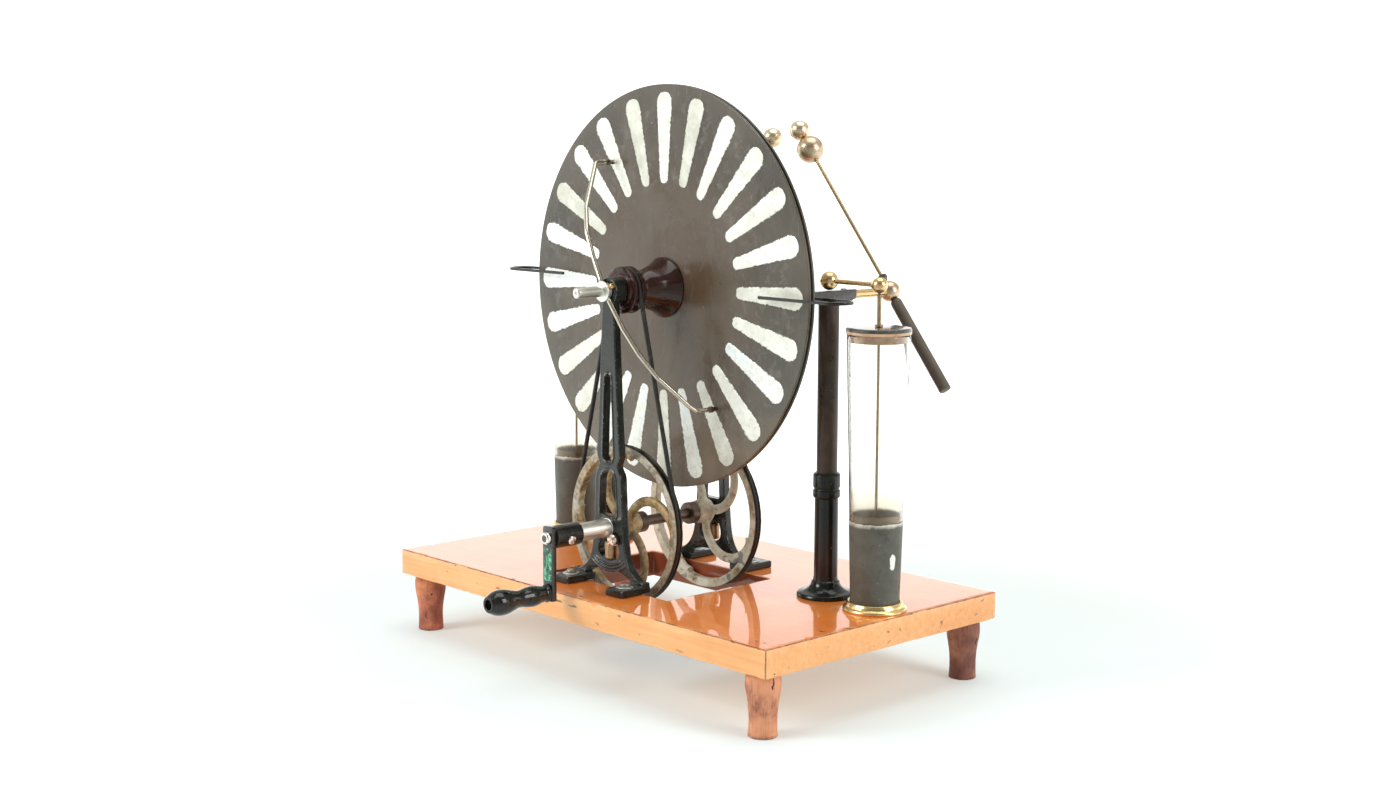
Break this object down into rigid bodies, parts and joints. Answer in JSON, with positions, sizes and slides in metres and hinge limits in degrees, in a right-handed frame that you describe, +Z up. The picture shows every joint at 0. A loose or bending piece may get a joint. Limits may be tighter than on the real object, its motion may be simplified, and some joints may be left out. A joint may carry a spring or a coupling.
{
  "type": "electrostatic influence machine",
  "caption": "Hand-cranked influence machine: counter-rotating foil-sectored plates, belt wheels, discharger rods, neutralizer rods and Leyden jars on a footed wooden board.",
  "frame": {"origin": "centre of the bounding box in plan, at the underside of the feet", "axes": "+Z up, +Y along the spindle away from the crank handle, +X to the right as seen from the crank"},
  "size_m": [0.622, 0.461, 0.65],
  "materials": {
    "varnished_wood": "gloss orange varnish, worn edges",
    "foot_wood": "dry reddish-brown stain",
    "lid_wood": "dark satin",
    "black_iron": "chipped gloss black enamel",
    "worn_iron": "worn cream and bronze paint",
    "steel": "browned steel",
    "nickel": "dulled nickel plate",
    "dull_screw": "oxidised steel",
    "brass": "aged brass",
    "tinsel": "tarnished tinsel",
    "foil": "oxidised foil with ragged edges",
    "plate_ebonite": "polished grey-brown hard rubber",
    "oxblood": "gloss oxblood",
    "brown_ebonite": "satin brown hard rubber",
    "black_ebonite": "gloss black hard rubber",
    "black_wire": "black lacquer",
    "leather": "waxed round cord",
    "glass": "clear, slightly tinted"
  },
  "bodies": {
    "base": {"baseboard": "varnished_wood", "feet": "foot_wood", "front_frame": "black_iron", "rear_frame": "black_iron", "frame_screws": "dull_screw", "spindle": "nickel", "axle_bushes": "nickel", "bearing_pillars": "brass", "bearing_clamp_screws": "nickel", "front_belt": "leather", "rear_belt": "leather", "column_bases": "black_ebonite", "right_column_rod": "brown_ebonite", "left_column_rod": "brown_ebonite", "conductor_bars": "black_ebonite", "conductor_tubes": "brass", "right_comb": "black_wire", "left_comb": "black_wire", "jar_rings": "brass"},
    "drive": {"crank_axle": "steel", "front_wheel": "worn_iron", "rear_wheel": "worn_iron", "wheel_collars": "steel", "crank_boss": "black_iron", "crank_screws": "dull_screw", "crank_arm": "black_iron", "handle_pin": "steel"},
    "handle": {"crank_handle": "black_ebonite"},
    "front_plate": {"front_disc": "plate_ebonite", "front_sectors": "foil", "front_boss": "oxblood"},
    "rear_plate": {"rear_disc": "plate_ebonite", "rear_sectors": "foil", "rear_boss": "oxblood"},
    "front_neutralizer": {"front_neutralizer_collar": "nickel", "front_neutralizer_rods": "nickel", "front_neutralizer_brushes": "tinsel", "front_neutralizer_screw": "brass"},
    "rear_neutralizer": {"rear_neutralizer_collar": "nickel", "rear_neutralizer_rods": "nickel", "rear_neutralizer_brushes": "tinsel", "rear_neutralizer_screw": "brass"},
    "right_discharger": {"right_discharger_rod": "brass", "right_discharger_balls": "brass", "right_discharger_nut": "black_wire", "right_discharger_handle": "brown_ebonite"},
    "left_discharger": {"left_discharger_rod": "brass", "left_discharger_balls": "brass", "left_discharger_nut": "black_wire", "left_discharger_handle": "brown_ebonite"},
    "right_jar": {"right_jar_glass": "glass", "right_jar_foils": "foil", "right_jar_lid": "lid_wood", "right_jar_rod": "brass"},
    "left_jar": {"left_jar_glass": "glass", "left_jar_foils": "foil", "left_jar_lid": "lid_wood", "left_jar_rod": "brass"},
    "right_link": {"right_link_arm": "brass"},
    "left_link": {"left_link_arm": "brass"}
  },
  "joints": [
    {"name": "crank_turn", "type": "hinge", "parent": "base", "child": "drive", "pos_m": [0, 0.0515, 0.1625], "axis": [0, 1, 0], "continuous": true},
    {"name": "handle_spin", "type": "hinge", "parent": "drive", "child": "handle", "pos_m": [0, -0.1885, 0.102], "axis": [0, 1, 0], "continuous": true},
    {"name": "front_plate_spin", "type": "hinge", "parent": "base", "child": "front_plate", "pos_m": [0, -0.0085, 0.425], "axis": [0, 1, 0], "continuous": true},
    {"name": "rear_plate_spin", "type": "hinge", "parent": "base", "child": "rear_plate", "pos_m": [0, 0.0545, 0.425], "axis": [0, 1, 0], "continuous": true},
    {"name": "front_neutralizer_turn", "type": "hinge", "parent": "base", "child": "front_neutralizer", "pos_m": [0, -0.0675, 0.425], "axis": [0, 1, 0], "range_deg": [-45, 6]},
    {"name": "rear_neutralizer_turn", "type": "hinge", "parent": "base", "child": "rear_neutralizer", "pos_m": [0, 0.1135, 0.425], "axis": [0, 1, 0], "range_deg": [-6, 45]},
    {"name": "right_discharger_swing", "type": "hinge", "parent": "base", "child": "right_discharger", "pos_m": [0.195, 0.1785, 0.424], "axis": [0, 1, 0], "range_deg": [-2, 60]},
    {"name": "left_discharger_swing", "type": "hinge", "parent": "base", "child": "left_discharger", "pos_m": [-0.193, 0.1785, 0.432], "axis": [0, 1, 0], "range_deg": [-60, 1.5]},
    {"name": "right_jar_lift", "type": "slide", "parent": "base", "child": "right_jar", "axis": [0, 0, 1], "range_m": [0, 0.022]},
    {"name": "left_jar_lift", "type": "slide", "parent": "base", "child": "left_jar", "axis": [0, 0, 1], "range_m": [0, 0.022]},
    {"name": "right_link_swing", "type": "hinge", "parent": "right_jar", "child": "right_link", "pos_m": [0.2729, 0.0735, 0.4405], "axis": [0, 0, 1], "range_deg": [-120, 28]},
    {"name": "left_link_swing", "type": "hinge", "parent": "left_jar", "child": "left_link", "pos_m": [-0.265, 0.1085, 0.4485], "axis": [0, 0, 1], "range_deg": [-62, 120]}
  ],
  "couplings": [
    {"joint": "front_plate_spin", "follows": "crank_turn", "ratio": 3.7253},
    {"joint": "rear_plate_spin", "follows": "crank_turn", "ratio": -3.7253}
  ]
}
